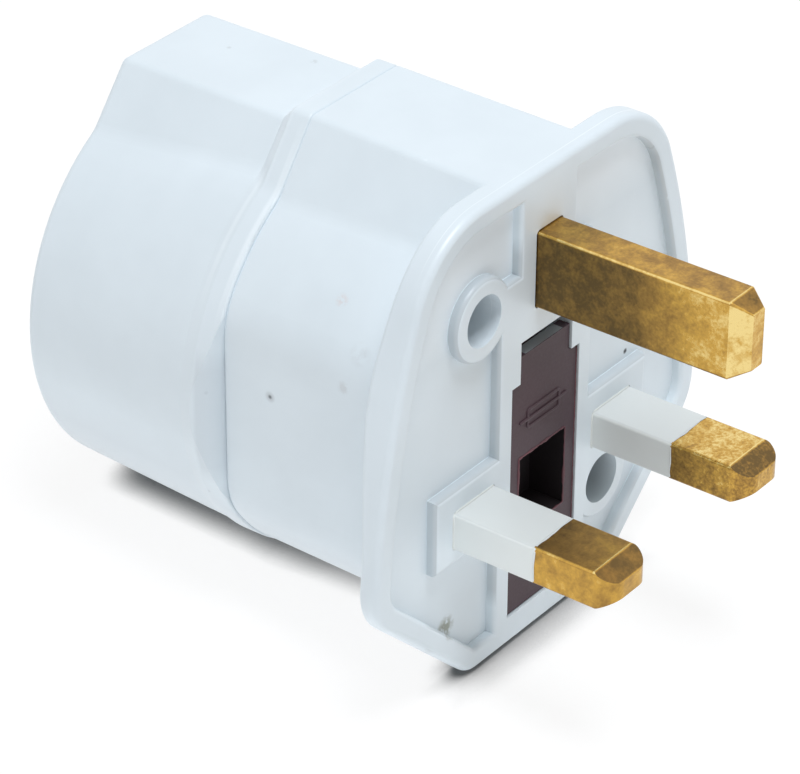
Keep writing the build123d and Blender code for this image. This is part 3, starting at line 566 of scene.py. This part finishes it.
# %% [markdown]
# ## Inner metal
# Behind the drawer sit the fuse's nickel-plated caps, stamped brass strips and zinc-plated screws. They are
# rolled or plated, so fine lines run along them. Most of that shows only when the drawer is pulled.

# %% Rolled and plated metal
ROLL_STRETCH, PLATE_GLOSS_SPREAD = 0.08, 0.06


def plated(name, colour, shade, roughness, line_mm):
    """Rolled or plated metal: fine rolling lines vary the tone and the gloss."""
    material, tree, shader, in_mm = patterned(name)
    stretched = node(tree, "Mapping", {"Vector": in_mm, "Scale": (1, 1, ROLL_STRETCH)}).outputs[0]
    lines = node(tree, "TexNoise", {"Vector": stretched, "Scale": 1 / line_mm, "Detail": 4}).outputs["Fac"]
    tint = node(tree, "Mix", {0: lines, COLOUR_A: linear(shade), COLOUR_B: linear(colour)},
                data_type="RGBA").outputs[COLOUR_OUT]
    gloss = node(tree, "MapRange", {"Value": lines, "To Min": roughness + PLATE_GLOSS_SPREAD,
                                    "To Max": roughness - PLATE_GLOSS_SPREAD}).outputs[0]
    tree.links.new(tint, shader.inputs["Base Color"])
    tree.links.new(gloss, shader.inputs["Roughness"])
    shader.inputs["Metallic"].default_value = 1
    return material


# Nickel gives the eye a warm bright grey, rolled brass a plain gold, and zinc a cool and duller grey
cap_nickel = plated("nickel_plated_cap", "#D2D0CB", "#B4B2AC", roughness=0.24, line_mm=0.3)
strip_brass = plated("brass_rolled_strip", "#C9A75C", "#AE8A45", roughness=0.32, line_mm=0.3)
screw_zinc = plated("steel_zinc_plated", "#B5B8BA", "#93979A", roughness=0.34, line_mm=0.25)
SLOT_METALS = {"fuse_cap_plate": cap_nickel, "strip_brass": strip_brass, "screw_steel": screw_zinc}
for slot, metal in SLOT_METALS.items():
    owners = [row["node"] for row in frame["record"]["subparts"] if row["material_slot"] == slot]
    for name in owners:
        nodes[name].data.materials[0] = metal
    print(metal.name, "on", owners)

# %% [markdown]
# ## Fuse sign on the drawer
# The drawer carries a small raised sign. A fuse is drawn everywhere as a box with a line through it, so two
# ridges make the sign: one runs round a rounded rectangle, the other straight along the middle. Both are a
# profile carried round a loop of points. A profile goes from its outer foot over the top to its inner foot,
# which turns the faces outwards.

# %% Loops with rounded corners
def rounded_loop(half_width, half_height, radius, steps=6):
    """Rounded rectangle: four corner centres, each with a quarter circle. Gives points and the outward
    direction at each."""
    corner = np.arange(4)[:, None]
    angle = ((corner + np.linspace(0, 1, steps)[None, :]) * math.pi / 2).reshape(-1)
    middle = (corner + 0.5) * math.pi / 2 + np.zeros((1, steps))
    side_x, side_z = np.sign(np.cos(middle)).reshape(-1), np.sign(np.sin(middle)).reshape(-1)
    outward = np.stack([np.cos(angle), np.sin(angle)], -1)
    centre = np.stack([side_x * (half_width - radius), side_z * (half_height - radius)], -1)
    return centre + radius * outward, outward


def ridge(centre, loop, outward, profile, swell=1.0):
    """A profile (in or out of the loop, and height off the face) carried round a loop on the plug's side, and
    made larger or smaller at each point of the loop by swell."""
    sized = profile[None] * np.broadcast_to(swell, len(loop))[:, None, None]
    step = loop[:, None, :] + outward[:, None, :] * sized[..., :1]
    return np.stack([centre[0] + step[..., 0], centre[1] - sized[..., 1], centre[2] + step[..., 1]], -1)


print("points on a rounded loop:", len(rounded_loop(1, 1, 0.5)[0]))

# %% The sign itself
drawer_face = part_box("fuse_carrier")[0].y / MM
SIGN_CENTRE = (0.0, drawer_face, -4.7)
SIGN_HALF_WIDTH, SIGN_HALF_HEIGHT, SIGN_CORNER, BAR_HALF_WIDTH = 2.5, 0.95, 0.3, 3.8
STROKE, RAISED, SUNK = 0.17, 0.16, 0.03
ARCH_STEPS, ARCH_FULLNESS = 9, 0.6

arch = np.linspace(0, math.pi, ARCH_STEPS)
stroke_profile = np.stack([STROKE * np.cos(arch), RAISED * np.sin(arch) ** ARCH_FULLNESS], -1)
stroke_profile = np.vstack([[STROKE, -SUNK], stroke_profile, [-STROKE, -SUNK]])
box_loop, box_outward = rounded_loop(SIGN_HALF_WIDTH, SIGN_HALF_HEIGHT, SIGN_CORNER)
sign_box = grid_piece("fuse_sign_box", ridge(SIGN_CENTRE, box_loop, box_outward, stroke_profile),
                      loop_rows=True, loop_columns=True)

bar_loop, bar_outward = rounded_loop(BAR_HALF_WIDTH, STROKE, STROKE)
bar_profile = np.array([[-STROKE, -SUNK], [0, -SUNK], [0, 0.6 * RAISED], [-0.3 * STROKE, RAISED],
                        [-STROKE, RAISED]])
sign_bar = grid_piece("fuse_sign_bar", ridge(SIGN_CENTRE, bar_loop, bar_outward, bar_profile), loop_rows=True)
for piece in (sign_box, sign_bar):
    piece.data.materials.append(drawer_red)
    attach(piece, "fuse_drawer")

# %% [markdown]
# ## Torn edges
# Phenolic chips where the tool parts, so the window's rim and the plate's edge carry a thin ragged burr,
# redder than the skin. The nylon sleeves end in a thin ragged flash on the brass, and a small bead of nylon
# rings their root on the plug face. All are ridges whose size wanders along the edge. A noise texture could
# displace them, but seeded random numbers give the same edge every time.

# %% Ragged ridges
def evenly(loop, spacing):
    """Points at even steps along a closed loop, and the outward direction at each: the tangent, turned."""
    closed = np.vstack([loop, loop[:1]])
    run = np.concatenate([[0], np.cumsum(np.linalg.norm(np.diff(closed, axis=0), axis=1))])
    steps = np.linspace(0, run[-1], int(run[-1] / spacing), endpoint=False)
    points = np.stack([np.interp(steps, run, closed[:, axis]) for axis in (0, 1)], -1)
    tangent = np.roll(points, -1, axis=0) - np.roll(points, 1, axis=0)
    tangent /= np.linalg.norm(tangent, axis=1, keepdims=True)
    return points, np.stack([tangent[:, 1], -tangent[:, 0]], -1)


def ragged(count, seed, least, most):
    """Wandering sizes round a loop: seeded random numbers, each averaged with its neighbours."""
    rough = np.random.default_rng(seed).random(count)
    smooth = (np.roll(rough, 1) + 2 * rough + np.roll(rough, -1)) / 4
    return least + (most - least) * smooth


def torn(name, centre, loop, profile, spacing, seed, least, most):
    """Closed ring of a ragged profile round a loop."""
    points, outward = evenly(loop, spacing)
    swell = ragged(len(points), seed, least, most)
    return grid_piece(name, ridge(centre, points, outward, profile, swell), loop_rows=True, loop_columns=True)


print("points on a 2 mm square at 0.1 mm steps:", len(evenly(rounded_loop(1, 1, 0.2)[0], spacing=0.1)[0]))

# %% Burr on the drawer
BURR, BURR_HIGH = 0.1, 0.08
WINDOW_RIM = (3.75, 4.3, 0.06)
PLATE_EDGE, PLATE_EDGE_X = (0.02, 12.4, 0.02), 5.27
burr_profile = np.array([[BURR, -SUNK], [0.7 * BURR, 0.5 * BURR_HIGH], [0, BURR_HIGH],
                         [-0.7 * BURR, 0.6 * BURR_HIGH], [-BURR, -SUNK]])
window_loop, _ = rounded_loop(*WINDOW_RIM)
window_burr = torn("window_burr", (0.0, drawer_face, WINDOW_CENTRE[2]), window_loop, burr_profile,
                   spacing=0.22, seed=3, least=0.0, most=2.5)
edge_loop, _ = rounded_loop(*PLATE_EDGE)
edge_burr = torn("plate_burr", (PLATE_EDGE_X, drawer_face, WINDOW_CENTRE[2]), edge_loop, burr_profile,
                 spacing=0.2, seed=5, least=0.5, most=1.2)
# A torn phenolic edge has no skin, so it gives the eye a redder and rougher line
burr_red = moulded("phenolic_torn_edge", "#6B4048", "#4F2F36", roughness=0.6, gloss_spread=0.1,
                   grain_mm=0.15, depth_mm=0.01)
for piece in (window_burr, edge_burr):
    piece.data.materials.append(burr_red)
    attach(piece, "fuse_drawer")

# %% Flash and root of the sleeves
PIN_SPACING = 22.23
PIN_OFFSET = PIN_SPACING / 2
SLEEVE_SECTION = (3.2, 2.025, 0.37)
FLASH_SEED, ROOT_SEED, NYLON_STEP = 11, 21, 0.5
sleeve_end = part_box("live_sleeve")[0].y / MM
flash_profile = np.array([[0.03, -0.03], [0.03, 0.1], [0.004, 0.24], [-0.012, 0.22], [-0.012, -0.03]])
root_profile = np.array([[0.14, -0.03], [0.12, 0.03], [0.04, 0.09], [-0.06, 0.12], [-0.06, -0.03]])
sleeve_loop, _ = rounded_loop(*SLEEVE_SECTION)
for name, side in (("live", -1), ("neutral", 1)):
    flash = torn(name + "_sleeve_flash", (side * PIN_OFFSET, sleeve_end, -PIN_OFFSET), sleeve_loop,
                 flash_profile, NYLON_STEP, FLASH_SEED + side, least=0.0, most=1.3)
    root = torn(name + "_sleeve_root", (side * PIN_OFFSET, 0.0, -PIN_OFFSET), sleeve_loop,
                root_profile, NYLON_STEP, ROOT_SEED + side, least=0.8, most=1.2)
    for piece in (flash, root):
        piece.data.materials.append(sleeve_white)
        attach(piece, "adapter")

# %% [markdown]
# ## Screw threads
# The housing screws have a rolled thread with a wide pitch, which cuts its own way into the plastic pillars.
# The frame has plain shanks, so the thread is added here: one ridge along a helix. Both ends run out into the
# shank and meet in a point there, so the ridge closes by itself.

# %% Ridge along a helix
SHANK_RADIUS, THREAD_PITCH, THREAD_RUN = 1.4, 1.35, 8.2
THREAD_HIGH, THREAD_FOOT, THREAD_CREST = 0.35, 0.3, 0.05
TURN_STEPS = 24
thread_profile = np.array([[0, THREAD_FOOT], [THREAD_HIGH, THREAD_CREST],
                           [THREAD_HIGH, -THREAD_CREST], [0, -THREAD_FOOT]])


def thread(name, axis_x, axis_z, start_y):
    """Helix: the angle gives x and z, and y grows by one pitch with each turn. The profile stands off the
    shank, and its height grows from nothing over the first half turn and back to nothing over the last. One
    more row at each end, inside the shank, is a single point."""
    turns = THREAD_RUN / THREAD_PITCH
    angle = np.linspace(0, 2 * math.pi * turns, int(turns * TURN_STEPS))
    angle = np.concatenate([[-angle[1]], angle, [angle[-1] + angle[1]]])[:, None]
    grown = np.clip(np.minimum(angle, angle[-2] - angle) / math.pi, 0, 1)
    width = np.ones_like(angle)
    width[[0, -1]] = 0
    radius = SHANK_RADIUS - SUNK + grown * thread_profile[None, :, 0]
    along = start_y + THREAD_PITCH * angle / (2 * math.pi) + width * thread_profile[None, :, 1]
    points = np.stack([axis_x + radius * np.cos(angle), along, axis_z + radius * np.sin(angle)], -1)
    return grid_piece(name, points, loop_columns=True)


for name in ("upper_screw", "lower_screw"):
    low, high = (np.array(corner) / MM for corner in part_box(name))
    middle = (low + high) / 2
    piece = thread(name + "_thread", middle[0], middle[2], high[1] - THREAD_FOOT - THREAD_RUN)
    piece.data.materials.append(screw_zinc)
    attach(piece, "adapter")

# %% [markdown]
# ## Sizes
# Every added piece lies within the solids' box, so the box of the whole hasn't grown. The last line prints
# the box of everything that is shown.

# %% Sizes
low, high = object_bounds()
print("visual box", np.round(np.array(low) / MM, 2), np.round(np.array(high) / MM, 2))
